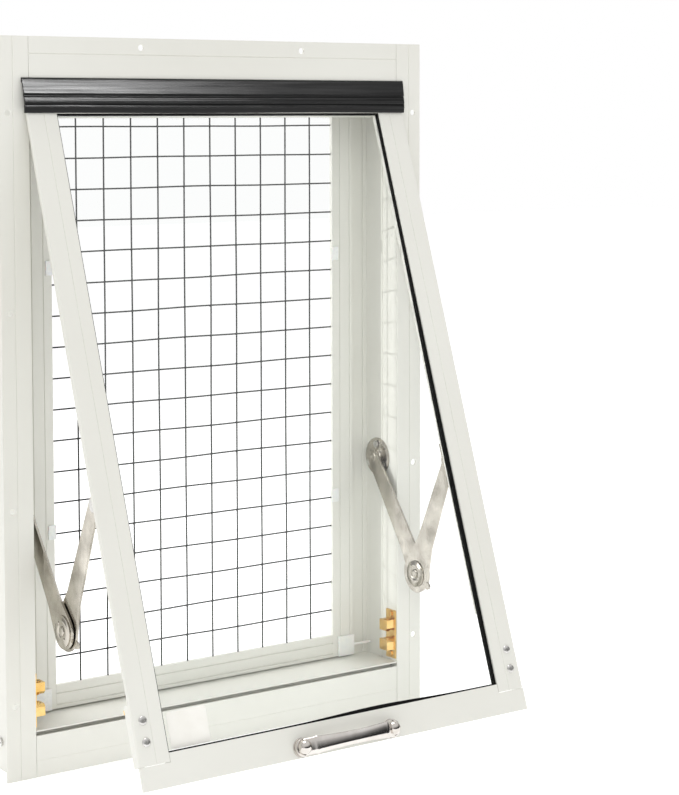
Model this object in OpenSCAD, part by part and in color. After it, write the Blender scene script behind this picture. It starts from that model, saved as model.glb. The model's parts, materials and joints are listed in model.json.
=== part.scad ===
// Top-hung window sash for a shed or coop, with a wire guard, two folding stays,
// a black weather strip over the pivots, a pull handle and two double-ball catches.
// X runs right as seen from outdoors, +Y into the wall, +Z up. The origin is the
// middle of the frame on the wall side of the nailing fin. The sash is drawn held open.

/* [Frame] */
// Overall width across the nailing fins
frame_w = 406; // [402:1:410]
// Overall height across the nailing fins
frame_h = 584; // [584:1:588]
// Depth from the front face to the back stop's front
stop_y = 46; // [46:0.5:50]
// Width of the stile faces
stile_face = 25.5; // [25:0.5:27]
// Height of the sill's front face
sill_face = 33.3; // [32.5:0.1:34]
// Width of the nailing fin outside the box
fin_w = 12; // [10:0.5:13]
// Wall thickness of the frame extrusions
wall = 1.5; // [1.2:0.1:1.6]
// Pitch of the screw holes along the fins
hole_pitch = 155; // [140:1:160]
// Radius of the fin's screw holes
hole_r = 2.5; // [2:0.1:3]

/* [Guard] */
// Size of the mesh
cell = 25.4; // [25:0.1:25.6]
// Radius of the guard's wire
wire_r = 0.65; // [0.6:0.05:0.9]
// Number of upright wires
wires_up = 10; // [8:2:10]
// Number of cross wires
wires_across = 18; // [16:1:18]
// Width of the guard's bars
bar_w = 22; // [18:0.5:22]

/* [Sash] */
// Angle at which the stays hold the sash open
open_angle = 19.3; // [10:0.1:21]
// How far the sash's lips lap over the jambs
lap = 3.7; // [3:0.1:4.5]
// Width of the sash stile faces
sash_face = 25.7; // [24:0.1:27]
// Depth from the pivot line to the sash's lower edge
sash_drop = 523.3; // [515:0.1:524]
// Thickness of the glass
glass_t = 3; // [2:0.5:3]

/* [Stays] */
// Length of each stay arm between pivots
arm_l = 114.5; // [113:0.5:118]
// Thickness of a stay arm
arm_t = 2; // [1.5:0.1:2]
// Radius of the disc that holds a stay to the jamb
base_r = 17; // [15:0.5:17]

/* [Hidden] */
$fn = 48;
eps = 0.01;
// frame, measured from the front face (y) and the bottom edge (z)
xi = frame_w / 2 - stile_face;
box_x = frame_w / 2 - fin_w;
head_low = frame_h - 46;
head_box = frame_h - 33;
head_top = frame_h - fin_w - 1;
deck_z = 37.5;
stop_in = 27;
stop_t = wall;
depth = stop_y + stop_t;
slot_d = 0.8;
// guard
bar_out = xi - 18.1;
bar_in = bar_out - bar_w;
bar_t = 4;
bar_y = stop_y - bar_t;
bar_z0 = 38.8;
bar_low = 58.7;
bar_high = frame_h - 59.2;
bar_z1 = bar_high + bar_w;
wire_z0 = bar_low + 22.4;
wire_up_y = bar_y + 1.55;
wire_x_y = wire_up_y + 2 * wire_r - 0.1;
clip_z = [185, 400];
clip_h = 12;
clip_t = 1.2;
key_h = 18;
key_t = 2;
// sash, measured from the pivot line: y back from it, z up from it
pivot_y = 5;
pivot_z = frame_h - 58;
face_y = -8;
sash_t = 1.5;
lip_back = -5.6;
box_back = 6;
thin_back = 0.9;
sash_x = xi + lap;
sash_in = sash_x - sash_face;
sash_box = xi - 2;
groove_x = sash_in + 10.8;
groove_w = 0.6;
rivet_x = sash_in + 17;
sash_top = 9;
stile_low = -sash_drop + 17.4;
rail_high = -sash_drop + 24.3;
box_low = -440;
glass_y = -3.5;
gasket_lip = 1.2;
glass_x = sash_in + 5.5;
pocket_x = sash_in + 7;
top_low = -4.5;
corner_top = -460;
rivet_z = [stile_low + 16.9, stile_low + 33.3];
rivet_hole_r = 2;
rivet_head_r = 3.5;
pin_r = 3;
pin_head_r = pivot_y - wall - 0.1;
run_gap = 0.05;
// stays: planes in x, measured as distances from the middle
arm_in = xi - 8.9;
arm_gap = 0.8;
arm_out = arm_in + arm_t + arm_gap;
stay_y = 28.5;
stay_z = 217.5;
sash_pivot = [14, -309];
rivet_r = 2.5;
open_hole_r = 4;
elbow_r = 14.5;
elbow_big_r = 16.5;
// catches
catch_z = 61.5;
catch_y = 8;
catch_x = xi - 5;
ball_r = 3;
ball_gap = 4.6;
jaw_gap = 8;
jaw_h = 9.5;
plate_h = 43;
// strike on the sash
strike_z = catch_z - pivot_z;
// handle
handle_z = -sash_drop + 7.7;
knob_x = 42;
plate_t = 1.2;
knob_r = 6.2;
knob_y = face_y - plate_t - knob_r - 0.1;
grip_rise = 6.5;
grip_t = 5;
grip_h = 10.8;
// the grip bows out on one arc between the knobs
grip_bend = (knob_x * knob_x + grip_rise * grip_rise) / (2 * grip_rise);
grip_turn = 2 * asin(knob_x / grip_bend);

function turn(p, a) = [p[0] * cos(a) + p[1] * sin(a), -p[0] * sin(a) + p[1] * cos(a)];
function off_pivot(p) = [pivot_y, pivot_z] + turn(p, open_angle);
function middle(a, b) = (a + b) / 2;
// lower meeting point of two arms of equal length from a and b
function elbow_of(a, b, l) =
    let (d = b - a, s = norm(d), h = sqrt(l * l - s * s / 4), n = [d[1], -d[0]] / s)
    (n[1] < 0 ? middle(a, b) + h * n : middle(a, b) - h * n);
jamb_pivot = [stay_y, stay_z];
rest_pivot = off_pivot(sash_pivot);
elbow = elbow_of(jamb_pivot, rest_pivot, arm_l);

// Moves a piece from front-face and bottom-edge measures to the model's origin.
module place() { translate([0, -wall, -frame_h / 2]) children(); }

// Puts a piece measured from the pivot line at the angle where the sash is held.
module on_sash() {
    place() translate([0, pivot_y, pivot_z]) rotate([-open_angle, 0, 0]) children();
}

// Draws the right-hand piece, mirrored for the left.
module hand(left) { mirror([left ? 1 : 0, 0, 0]) children(); }

// Stands an outline drawn in (x, y) upright from z0 to z1.
module upright(z0, z1) { translate([0, 0, z0]) linear_extrude(z1 - z0) children(); }

// Runs an outline drawn in (y, z) along x, from -x1 to x1.
module along_x(x1) { translate([-x1, 0, 0]) rotate([90, 0, 90]) linear_extrude(2 * x1) children(); }

// A cylinder along +x from x0 to x1 around (y, z).
module bar_x(x0, x1, y, z, r) { translate([x0, y, z]) rotate([0, 90, 0]) cylinder(h = x1 - x0, r = r); }

// A cylinder along +y from y0 to y1 around (x, z).
module bar_y_dir(y0, y1, x, z, r) { translate([x, y0, z]) rotate([-90, 0, 0]) cylinder(h = y1 - y0, r = r); }

// A box given by its two corners.
module block(a, b) { translate(a) cube(b - a); }

// A round-headed screw whose head stands out of a face towards +x.
module screw_x(x, y, z, head_r, head_h, slot = true) {
    difference() {
        union() {
            bar_x(x - 2.5, x + eps, y, z, head_r * 0.5);
            bar_x(x, x + head_h, y, z, head_r);
        }
        if (slot) {
            block([x + head_h * 0.5, y - head_r * 0.7, z - 0.35], [x + head_h + 1, y + head_r * 0.7, z + 0.35]);
            block([x + head_h * 0.5, y - 0.35, z - head_r * 0.7], [x + head_h + 1, y + 0.35, z + head_r * 0.7]);
        }
    }
}

// ---- frame ----
module stile_outline() {
    difference() {
        polygon([
            [frame_w / 2, 0], [box_x + 0.4, 0], [box_x, 0.5], [box_x - 0.4, 0], [xi, 0],
            [xi, 21.5], [xi + 0.6, 21.8], [xi + 0.6, 22.4], [xi, 22.7], [xi, stop_y],
            [xi - 4.2, stop_y], [xi - 4.2, stop_y + slot_d], [xi - 5.8, stop_y + slot_d], [xi - 5.8, stop_y],
            [xi - stop_in, stop_y], [xi - stop_in, depth], [box_x, depth], [box_x, wall], [frame_w / 2, wall]
        ]);
        translate([xi + wall, wall]) square([box_x - xi - 2 * wall, stop_y - wall]);
    }
}

module frame_stile(left) {
    color("ivory") place() hand(left) difference() {
        upright(0, frame_h) stile_outline();
        block([xi - stop_in - 1, stop_y - 1, -1], [xi, depth + 1, deck_z]);
        block([xi - stop_in - 1, stop_y - 1, head_box], [xi, depth + 1, frame_h + 1]);
        for (k = [-1.5, -0.5, 0.5, 1.5])
            bar_y_dir(-1, wall + 1, frame_w / 2 - 7.6, frame_h / 2 + k * hole_pitch, hole_r);
        bar_x(xi - 1, xi + wall + eps, pivot_y, pivot_z, pin_r);
    }
}

module frame_head() {
    color("ivory") place() difference() {
        union() {
            along_x(xi) difference() {
                polygon([
                    [0, frame_h], [wall, frame_h], [wall, head_top], [depth, head_top], [depth, head_box],
                    [2.5, head_box], [2.5, head_low], [0, head_low], [0, head_top - 0.8], [0.5, head_top - 0.4],
                    [0, head_top]
                ]);
                translate([wall, head_box + wall]) square([stop_y - wall, head_top - head_box - 2 * wall]);
            }
            block([-xi + stop_in, stop_y, head_box - 15], [xi - stop_in, depth, head_box + eps]);
        }
        for (k = [-0.5, 0.5]) bar_y_dir(-1, wall + 1, k * hole_pitch, frame_h - 7.6, hole_r);
    }
}

module frame_sill() {
    color("ivory") place() {
        along_x(xi) difference() {
            polygon([
                [0, 0], [wall, 0], [wall, 13.3], [depth, 13.3], [depth, deck_z], [0.3, deck_z],
                [0.3, deck_z - 1.2], [9, deck_z - 1.2], [9, sill_face - 1.8], [wall, sill_face - 1.8],
                [wall, sill_face], [0, sill_face], [0, 13.7], [0.3, 13.3], [0, 12.9]
            ]);
            polygon([
                [wall, 13.3 + wall], [stop_y, 13.3 + wall], [stop_y, deck_z - wall],
                [9 + wall, deck_z - wall], [9 + wall, sill_face - 1.8 - wall], [wall, sill_face - 1.8 - wall]
            ]);
        }
        block([-xi + stop_in, stop_y, deck_z - eps], [xi - stop_in, depth, deck_z + 11]);
    }
}

module frame_screws() {
    color("silver") place() for (left = [false, true], y = [14, 34], z = [23, head_box + 10])
        hand(left) screw_x(box_x, y, z, 3.4, 1.8);
}

// ---- wire guard ----
module bar_outline(w) {
    difference() {
        square([w, bar_t]);
        for (g = [w * 0.36, w * 0.83]) translate([g - 0.4, -eps]) square([0.8, 0.8]);
    }
}

module guard_side_bar(left) {
    color("ivory") place() hand(left)
        upright(bar_z0, bar_z1) translate([bar_in, bar_y]) bar_outline(bar_w);
}

module guard_level_bar(z, w, flip) {
    color("ivory") place() translate([0, bar_y, z]) mirror([0, 0, flip ? 1 : 0])
        along_x(bar_in) rotate(90) mirror([0, 1, 0]) bar_outline(w);
}

module guard_wires_upright() {
    color("black") place() for (i = [0 : wires_up - 1])
        translate([(i - (wires_up - 1) / 2) * cell, wire_up_y, bar_low - 2])
            cylinder(h = bar_high - bar_low + 4, r = wire_r, $fn = 24);
}

module guard_wires_cross() {
    color("black") place() for (j = [0 : wires_across - 1])
        translate([-bar_in - 2, wire_x_y, wire_z0 + j * cell]) rotate([0, 90, 0])
            cylinder(h = 2 * bar_in + 4, r = wire_r, $fn = 24);
}

// Corner keys with a tongue that reaches the jamb, and flat clips part way up.
module guard_clips() {
    color("white") place() for (left = [false, true]) hand(left) {
        block([bar_in + 5, bar_y - key_t, bar_z0], [bar_out, bar_y, bar_z0 + key_h]);
        block([bar_out - eps, bar_y - key_t, bar_z0 + key_h / 2 - 1], [xi, bar_y - 0.4, bar_z0 + key_h / 2 + 1]);
        for (z = clip_z)
            block([bar_in - 1, bar_y - clip_t, z - clip_h / 2], [bar_in + 6, bar_y, z + clip_h / 2]);
    }
}

// ---- weather strip and pivots ----
module weather_strip() {
    top = frame_h - 32.3;
    color("dimgray") place() along_x(184) polygon([
        [0, top], [-1, top], [-1.7, top - 0.7], [-5.7, top - 12], [-5.2, top - 13], [-5.2, top - 14.2],
        [-6.4, top - 15.4], [-6.9, top - 17.6], [-7.5, top - 18.6], [-7, top - 19.6], [-7, top - 21.6],
        [-7.5, top - 22.6], [-6.9, top - 23.6], [-6.3, top - 26.7], [-5.6, top - 27.4],
        [-4.9, top - 26.8], [-5.3, top - 23], [-5, top - 17], [-3.7, top - 15], [-3.7, top - 12.6],
        [-4.1, top - 12], [-1.1, top - 3.5], [0, top - 3.5]
    ]);
}

module pivot_pin(left) {
    color("silver") place() hand(left) {
        bar_x(sash_box - 3, xi + wall, pivot_y, pivot_z, pin_r);
        bar_x(xi + wall, xi + wall + 2, pivot_y, pivot_z, pin_head_r);
    }
}

module pivot_washers() {
    color("white") place() for (left = [false, true]) hand(left) difference() {
        bar_x(sash_box + 0.1, xi, pivot_y, pivot_z, 4.6);
        bar_x(sash_box - 1, xi + 1, pivot_y, pivot_z, pin_r + run_gap);
    }
}

// ---- stays ----
module stay_base(left) {
    color("tan") place() hand(left) difference() {
        union() {
            bar_x(xi - 2, xi, stay_y, stay_z, base_r);
            bar_x(arm_out + arm_t, xi - 2, stay_y, stay_z, 6.5);
            bar_x(arm_out - 0.6, arm_out + arm_t, stay_y, stay_z, pin_r);
            bar_x(arm_out - 0.6, arm_out, stay_y, stay_z, 5);
        }
        for (a = [90, 210, 330])
            bar_x(xi - 3, xi + 1, stay_y + 11.5 * cos(a), stay_z + 11.5 * sin(a), 1.5);
    }
}

module stay_screws(left) {
    color("silver") place() hand(left) for (a = [90, 210, 330])
        translate([xi - 2, stay_y + 11.5 * cos(a), stay_z + 11.5 * sin(a)]) mirror([1, 0, 0])
            intersection() {
                screw_x(0, 0, 0, 3, 1.2);
                block([-2, -4, -4], [2, 4, 4]);
            }
}

// A flat arm from p to q, wider towards q, with its thickness along x.
module arm_plate(x, p, q, r_p, r_q) {
    translate([x, 0, 0]) rotate([90, 0, 90]) linear_extrude(arm_t) {
        translate(p) circle(r_p);
        translate(q) circle(r_q);
        taper_edges(p, q, r_p, r_q);
    }
}

// The straight-sided body between the two round ends of an arm.
module taper_edges(p, q, r_p, r_q) {
    d = q - p;
    l = norm(d);
    side = asin((r_q - r_p) / l);
    u = d / l;
    n = [-u[1], u[0]];
    polygon([
        p + r_p * (cos(side) * n - sin(side) * u), q + r_q * (cos(side) * n - sin(side) * u),
        q - r_q * (cos(side) * n + sin(side) * u), p - r_p * (cos(side) * n + sin(side) * u)
    ]);
}

module frame_arm(left) {
    waist = jamb_pivot + 0.78 * (elbow - jamb_pivot);
    color("tan") place() hand(left) difference() {
        union() {
            arm_plate(arm_out, jamb_pivot, waist, 7.5, 10);
            arm_plate(arm_out, waist, elbow, 10, elbow_r);
        }
        bar_x(arm_out - 1, arm_out + arm_t + 1, jamb_pivot[0], jamb_pivot[1], pin_r + run_gap);
        bar_x(arm_out - 1, arm_out + arm_t + 1, elbow[0], elbow[1], pin_r);
    }
}

module elbow_rivet(left) {
    color("tan") place() hand(left) {
        bar_x(arm_in, arm_out + arm_t, elbow[0], elbow[1], pin_r);
        bar_x(arm_in - 1, arm_in, elbow[0], elbow[1], 11.5);
        bar_x(arm_out + arm_t, arm_out + arm_t + 1, elbow[0], elbow[1], 12.5);
        bar_x(arm_in - 2, arm_in - 1, elbow[0], elbow[1], 3.6);
        bar_x(arm_out + arm_t + 1, arm_out + arm_t + 1.8, elbow[0], elbow[1], 3.6);
    }
}

module sash_arm(left) {
    waist = rest_pivot + 0.74 * (elbow - rest_pivot);
    tab = elbow + 18 * [-cos(28), -sin(28)];
    color("tan") place() hand(left) difference() {
        union() {
            arm_plate(arm_in, rest_pivot, waist, 6.8, 10);
            arm_plate(arm_in, waist, elbow, 10, elbow_big_r);
            bar_x(arm_in, arm_in + arm_t, tab[0], tab[1], 3);
        }
        bar_x(arm_in - 1, arm_in + arm_t + 1, rest_pivot[0], rest_pivot[1], open_hole_r);
        bar_x(arm_in - 1, arm_in + arm_t + 1, elbow[0], elbow[1], pin_r + run_gap);
    }
}

// ---- sash ----
module sash_stile_outline(lip) {
    difference() {
        polygon(concat(
            [
                [sash_in, face_y], [groove_x, face_y], [groove_x + groove_w / 2, face_y + 0.4],
                [groove_x + groove_w, face_y]
            ],
            lip ? [[sash_x - 1, face_y], [sash_x, face_y + 1], [sash_x, lip_back], [sash_box, lip_back]]
                : [[sash_box, face_y]],
            [
                [sash_box, box_back], [sash_in + 2, box_back], [sash_in + 2, thin_back],
                [sash_in, thin_back], [sash_in, thin_back - 1.2], [pocket_x, thin_back - 1.2],
                [pocket_x, face_y + sash_t], [sash_in, face_y + sash_t]
            ]
        ));
        translate([pocket_x + sash_t, face_y + sash_t])
            square([sash_box - pocket_x - 2 * sash_t, box_back - face_y - 2 * sash_t]);
    }
}

module sash_stile(left) {
    color("ivory") on_sash() hand(left) difference() {
        union() {
            upright(stile_low, -1.5) sash_stile_outline(true);
            upright(-1.5, sash_top) sash_stile_outline(false);
            block([pocket_x, face_y + sash_t, stile_low], [sash_box, thin_back, stile_low + 24]);
        }
        block([sash_in - 1, thin_back, stile_low - 1], [sash_box + 1, box_back + 1, box_low]);
        bar_x(sash_box - sash_t - 1, sash_box + 1, 0, 0, pin_r + run_gap);
        for (z = rivet_z) bar_y_dir(face_y - 1, face_y + sash_t + eps, rivet_x, z, rivet_hole_r);
    }
}

module sash_top_rail() {
    color("ivory") on_sash() along_x(sash_in) difference() {
        polygon([
            [face_y, top_low], [face_y + sash_t, top_low], [face_y + sash_t, 1.5], [thin_back - 1.2, 1.5],
            [thin_back - 1.2, top_low], [box_back, top_low], [box_back, sash_top], [face_y, sash_top]
        ]);
        translate([face_y + sash_t, 3]) square([box_back - face_y - 2 * sash_t, sash_top - 3 - sash_t]);
    }
}

module sash_bottom_rail() {
    color("ivory") on_sash() difference() {
        union() {
            block([-sash_x, face_y, -sash_drop], [sash_x, face_y + 2, stile_low]);
            along_x(sash_in) polygon([
                [face_y, stile_low - 2], [thin_back, stile_low - 2], [thin_back, rail_high - 1],
                [thin_back - 1.2, rail_high - 1], [thin_back - 1.2, stile_low - 0.8],
                [face_y + sash_t, stile_low - 0.8], [face_y + sash_t, rail_high], [face_y, rail_high]
            ]);
        }
        for (s = [-1, 1]) bar_y_dir(face_y - 1, face_y + 3, s * knob_x, handle_z, 2);
    }
}

module sash_corner(left) {
    color("ivory") on_sash() hand(left)
        block([sash_box, lip_back, stile_low], [sash_x - 0.2, thin_back, corner_top]);
}

module corner_rivets() {
    color("silver") on_sash() for (left = [false, true], z = rivet_z) hand(left) {
        bar_y_dir(face_y, face_y + sash_t, rivet_x, z, rivet_hole_r);
        translate([rivet_x, face_y, z]) rotate([90, 0, 0]) intersection() {
            translate([0, 0, -0.4 * rivet_head_r]) sphere(r = rivet_head_r);
            cylinder(h = rivet_head_r, r = rivet_head_r + 1);
        }
    }
}

module glass_pane() {
    color("lightcyan", 0.4) on_sash()
        block([-glass_x, glass_y, stile_low + 0.5], [glass_x, glass_y + glass_t, 1]);
}

module glazing_gasket() {
    color("black") on_sash() difference() {
        block([-glass_x, face_y + sash_t, stile_low + 0.5], [glass_x, glass_y, 1]);
        block(
            [-sash_in + gasket_lip, face_y, rail_high + gasket_lip],
            [sash_in - gasket_lip, glass_y + 1, top_low - gasket_lip]
        );
    }
}

module blank_label() {
    x = -sash_in + 5.5;
    color("white") on_sash() block([x, glass_y - 0.3, rail_high + 2], [x + 34, glass_y, rail_high + 29]);
}

// ---- pull handle ----
module pull_handle() {
    color("silver") on_sash() {
        for (s = [-1, 1]) {
            bar_y_dir(knob_y, face_y - plate_t, s * knob_x, handle_z, 3.6);
            translate([s * knob_x, knob_y, handle_z]) sphere(r = knob_r);
        }
        translate([0, 0, handle_z - grip_h / 2]) linear_extrude(grip_h)
            polygon(concat(grip_arc(grip_bend + grip_t / 2, 1), grip_arc(grip_bend - grip_t / 2, -1)));
    }
}

// Points along one face of the grip, from left to right or back.
function grip_arc(r, way) = [
    for (k = [-12 : 12]) let (a = 270 + way * k / 12 * grip_turn / 2)
        [r * cos(a), knob_y - grip_rise + grip_bend + r * sin(a)]
];

module handle_plates() {
    color("silver") on_sash() for (s = [-1, 1]) {
        bar_y_dir(face_y - plate_t, face_y, s * knob_x, handle_z, 7.5);
        bar_y_dir(face_y, face_y + 2, s * knob_x, handle_z, 2);
        bar_y_dir(face_y + 2, face_y + 3.6, s * knob_x, handle_z, 3.6);
    }
}

// ---- what the stays fasten to on the sash ----
module stay_bracket(left) {
    color("tan") on_sash() hand(left) difference() {
        union() {
            block([sash_in + 2, box_back, sash_pivot[1] - 14], [arm_in - 0.4, box_back + 1.6, sash_pivot[1] + 14]);
            block([arm_in - 2.4, box_back, sash_pivot[1] - 6.5], [arm_in - 0.4, sash_pivot[0], sash_pivot[1] + 6.5]);
            bar_x(arm_in - 2.4, arm_in - 0.4, sash_pivot[0], sash_pivot[1], 6.5);
        }
        bar_x(arm_in - 3, arm_in, sash_pivot[0], sash_pivot[1], rivet_r);
        for (s = [-1, 1]) bar_y_dir(box_back - 1, box_back + 2, sash_in + 6.5, sash_pivot[1] + s * 9.5, 1.5);
    }
}

module sash_rivet(left) {
    color("silver") on_sash() hand(left) {
        bar_x(arm_in - 3.4, arm_in - 2.4, sash_pivot[0], sash_pivot[1], 4);
        bar_x(arm_in - 2.4, arm_in + arm_t + 0.1, sash_pivot[0], sash_pivot[1], rivet_r);
        bar_x(arm_in + arm_t + 0.1, arm_in + arm_t + 0.6, sash_pivot[0], sash_pivot[1], 5.6);
    }
}

module bracket_screws() {
    color("silver") on_sash() for (left = [false, true], s = [-1, 1]) hand(left)
        translate([sash_in + 6.5, box_back + 1.6, sash_pivot[1] + s * 9.5]) rotate([0, 0, 90])
            intersection() {
                screw_x(0, 0, 0, 3, 1.2);
                block([-1.6, -4, -4], [2, 4, 4]);
            }
}

// ---- double-ball catches ----
// A jaw whose front inner edge is cut back, so that the two make a mouth.
module jaw(z0, z1) {
    difference() {
        translate([catch_x - 4.5, catch_y, 0]) rotate([90, 0, 90]) linear_extrude(xi - 1.5 - catch_x + 4.5)
            polygon([[-5.5, z0 + 2.2], [-3.4, z0], [5.5, z0], [5.5, z1], [-5.5, z1]]);
        translate([catch_x, catch_y, z0 - 1]) cylinder(h = z1 - z0 + 2, r = ball_r + run_gap);
    }
}

module catch_body(left) {
    color("goldenrod") place() hand(left) {
        difference() {
            block([xi - 1.5, catch_y - 6.5, catch_z - plate_h / 2], [xi, catch_y + 6.5, catch_z + plate_h / 2]);
            for (s = [-1, 1]) bar_x(xi - 3, xi + 1, catch_y, catch_z + s * 17.8, 1.5);
        }
        for (s = [-1, 1]) translate([0, 0, catch_z]) mirror([0, 0, s < 0 ? 1 : 0]) {
            jaw(jaw_gap / 2, jaw_gap / 2 + jaw_h);
            translate([catch_x, catch_y, jaw_gap / 2 + jaw_h - 2.4]) difference() {
                cylinder(h = 3, r = ball_r + run_gap);
                block([-ball_r, -0.4, 2], [ball_r, 0.4, 4]);
            }
        }
    }
}

module catch_screws() {
    color("goldenrod") place() for (left = [false, true], s = [-1, 1]) hand(left)
        translate([xi - 1.5, catch_y, catch_z + s * 17.8]) mirror([1, 0, 0]) intersection() {
            screw_x(0, 0, 0, 2.8, 1.2);
            block([-1.5, -4, -4], [2, 4, 4]);
        }
}

module catch_ball(left, s) {
    color("gold") place() hand(left)
        translate([catch_x, catch_y, catch_z + s * (ball_gap / 2 + ball_r)]) sphere(r = ball_r);
}

module catch_spring(left, s) {
    color("silver") place() hand(left) translate([catch_x, catch_y, catch_z]) mirror([0, 0, s < 0 ? 1 : 0])
        translate([0, 0, ball_gap / 2 + 2 * ball_r]) difference() {
            cylinder(h = jaw_gap / 2 + jaw_h - 2.4 - ball_gap / 2 - 2 * ball_r, r = 2.6);
            translate([0, 0, -1]) cylinder(h = 9, r = 1.8);
        }
}

module strike(left) {
    color("goldenrod") on_sash() hand(left) {
        block([sash_in + 4, thin_back, strike_z - 9], [sash_box, thin_back + 1.2, strike_z + 9]);
        block([catch_x - 2.5, thin_back + 1.2 - eps, strike_z - 1.6], [catch_x + 2.5, 13.5, strike_z + 1.6]);
    }
}

frame_stile(true);  // frame_left_stile
frame_stile(false);  // frame_right_stile
frame_head();
frame_sill();
frame_screws();
guard_side_bar(true);  // guard_left_bar
guard_side_bar(false);  // guard_right_bar
guard_level_bar(bar_high, bar_w, false);  // guard_top_bar
guard_level_bar(bar_low, bar_low - bar_z0, true);  // guard_bottom_bar
guard_wires_upright();
guard_wires_cross();
guard_clips();
weather_strip();
pivot_pin(true);  // pivot_pin_left
pivot_pin(false);  // pivot_pin_right
pivot_washers();
stay_base(true);  // stay_base_left
stay_base(false);  // stay_base_right
stay_screws(true);  // stay_screws_left
stay_screws(false);  // stay_screws_right
frame_arm(true);  // frame_arm_left
frame_arm(false);  // frame_arm_right
elbow_rivet(true);  // elbow_rivet_left
elbow_rivet(false);  // elbow_rivet_right
sash_arm(true);  // sash_arm_left
sash_arm(false);  // sash_arm_right
sash_stile(true);  // sash_left_stile
sash_stile(false);  // sash_right_stile
sash_top_rail();
sash_bottom_rail();
sash_corner(true);  // sash_corner_left
sash_corner(false);  // sash_corner_right
corner_rivets();
glass_pane();
glazing_gasket();
blank_label();
pull_handle();
handle_plates();
stay_bracket(true);  // stay_bracket_left
stay_bracket(false);  // stay_bracket_right
sash_rivet(true);  // sash_rivet_left
sash_rivet(false);  // sash_rivet_right
bracket_screws();
strike(true);  // strike_left
strike(false);  // strike_right
catch_body(true);  // catch_left
catch_body(false);  // catch_right
catch_screws();
catch_ball(true, 1);  // ball_upper_left
catch_ball(true, -1);  // ball_lower_left
catch_ball(false, 1);  // ball_upper_right
catch_ball(false, -1);  // ball_lower_right
catch_spring(true, 1);  // spring_upper_left
catch_spring(true, -1);  // spring_lower_left
catch_spring(false, 1);  // spring_upper_right
catch_spring(false, -1);  // spring_lower_right
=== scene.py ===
"""Looks of a top-hung window sash with a wire guard and two folding stays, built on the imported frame."""

import json
import math
import random

import bmesh
import bpy
from mathutils import Matrix, Vector

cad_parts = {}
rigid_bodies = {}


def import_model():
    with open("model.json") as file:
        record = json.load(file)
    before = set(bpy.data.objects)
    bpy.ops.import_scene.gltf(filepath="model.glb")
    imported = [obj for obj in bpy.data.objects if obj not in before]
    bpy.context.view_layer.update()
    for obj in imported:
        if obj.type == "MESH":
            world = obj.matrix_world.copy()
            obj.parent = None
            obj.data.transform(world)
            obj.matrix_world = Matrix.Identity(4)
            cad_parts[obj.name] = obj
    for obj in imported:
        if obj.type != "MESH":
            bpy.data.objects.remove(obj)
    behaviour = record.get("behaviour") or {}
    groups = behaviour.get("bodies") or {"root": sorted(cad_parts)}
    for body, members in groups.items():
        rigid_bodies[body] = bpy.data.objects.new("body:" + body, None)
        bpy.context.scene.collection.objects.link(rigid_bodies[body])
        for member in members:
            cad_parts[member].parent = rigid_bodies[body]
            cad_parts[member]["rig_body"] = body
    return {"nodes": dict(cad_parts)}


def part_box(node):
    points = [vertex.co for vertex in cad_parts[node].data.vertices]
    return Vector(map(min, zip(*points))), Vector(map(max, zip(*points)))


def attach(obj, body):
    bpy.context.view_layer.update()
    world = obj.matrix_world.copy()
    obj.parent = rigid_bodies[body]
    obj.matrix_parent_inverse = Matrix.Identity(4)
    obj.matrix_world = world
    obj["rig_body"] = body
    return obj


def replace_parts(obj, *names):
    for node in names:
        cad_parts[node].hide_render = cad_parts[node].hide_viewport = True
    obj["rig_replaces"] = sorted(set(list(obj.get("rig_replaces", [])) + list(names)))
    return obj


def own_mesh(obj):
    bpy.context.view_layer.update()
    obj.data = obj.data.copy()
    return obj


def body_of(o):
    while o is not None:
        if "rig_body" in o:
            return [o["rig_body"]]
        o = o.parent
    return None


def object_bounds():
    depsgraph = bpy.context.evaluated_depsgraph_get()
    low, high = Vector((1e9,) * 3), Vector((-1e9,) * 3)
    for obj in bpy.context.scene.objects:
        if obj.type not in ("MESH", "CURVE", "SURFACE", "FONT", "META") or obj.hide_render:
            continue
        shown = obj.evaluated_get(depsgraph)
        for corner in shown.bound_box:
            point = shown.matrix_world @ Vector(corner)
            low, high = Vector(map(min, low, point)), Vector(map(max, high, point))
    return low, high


MM = 0.001
FLOOR_SIZE = 14.0

# The camera's place is in metres. Its angles are in degrees, and yaw turns from +Y towards +X.
CAMERA_PLACE = (-0.9301, -1.4845, 0.2343)
CAMERA_YAW = 36.31
CAMERA_PITCH = -3.99
CAMERA_ROLL = -0.04
LENS = 95.80
SHIFT_X = -0.0509
SHIFT_Y = -0.1755

# Sizes that the pieces share with the CAD parts. The angle is in degrees, from closed to the rest pose.
OPEN_ANGLE = 19.3
CELL = 25.4 * MM
WIRE_RADIUS = 0.65 * MM
SIDES = (("left", -1), ("right", 1))

# Rounded edges: how wide the rounding is on each material, and the angle in degrees that counts as an edge.
EDGE_WIDTHS = {"white_plastic": 0.4 * MM, "frame_paint": 0.3 * MM}
OTHER_EDGE_WIDTH = 0.22 * MM
EDGE_ANGLE = 40.0

# Before that, points this close are merged, and faces within this angle in degrees become one.
SAME_SPOT = 0.02 * MM
FLAT_ANGLE = 0.5

# Where two extrusions meet, the end of one is drawn in to leave a hairline. Points this near it are moved.
JOINT_GAP = 0.3 * MM
JOINT_REACH = 0.1 * MM

# The studio: the sky's strength below and above, the share of it behind the window, and the floor's glow.
SKY_BELOW = 0.25
SKY_ABOVE = 0.92
SKY_BEHIND = 0.58
FLOOR_GLOW = 0.35
DARK_SIDE = (0.6, -0.8, 0.0)

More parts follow.
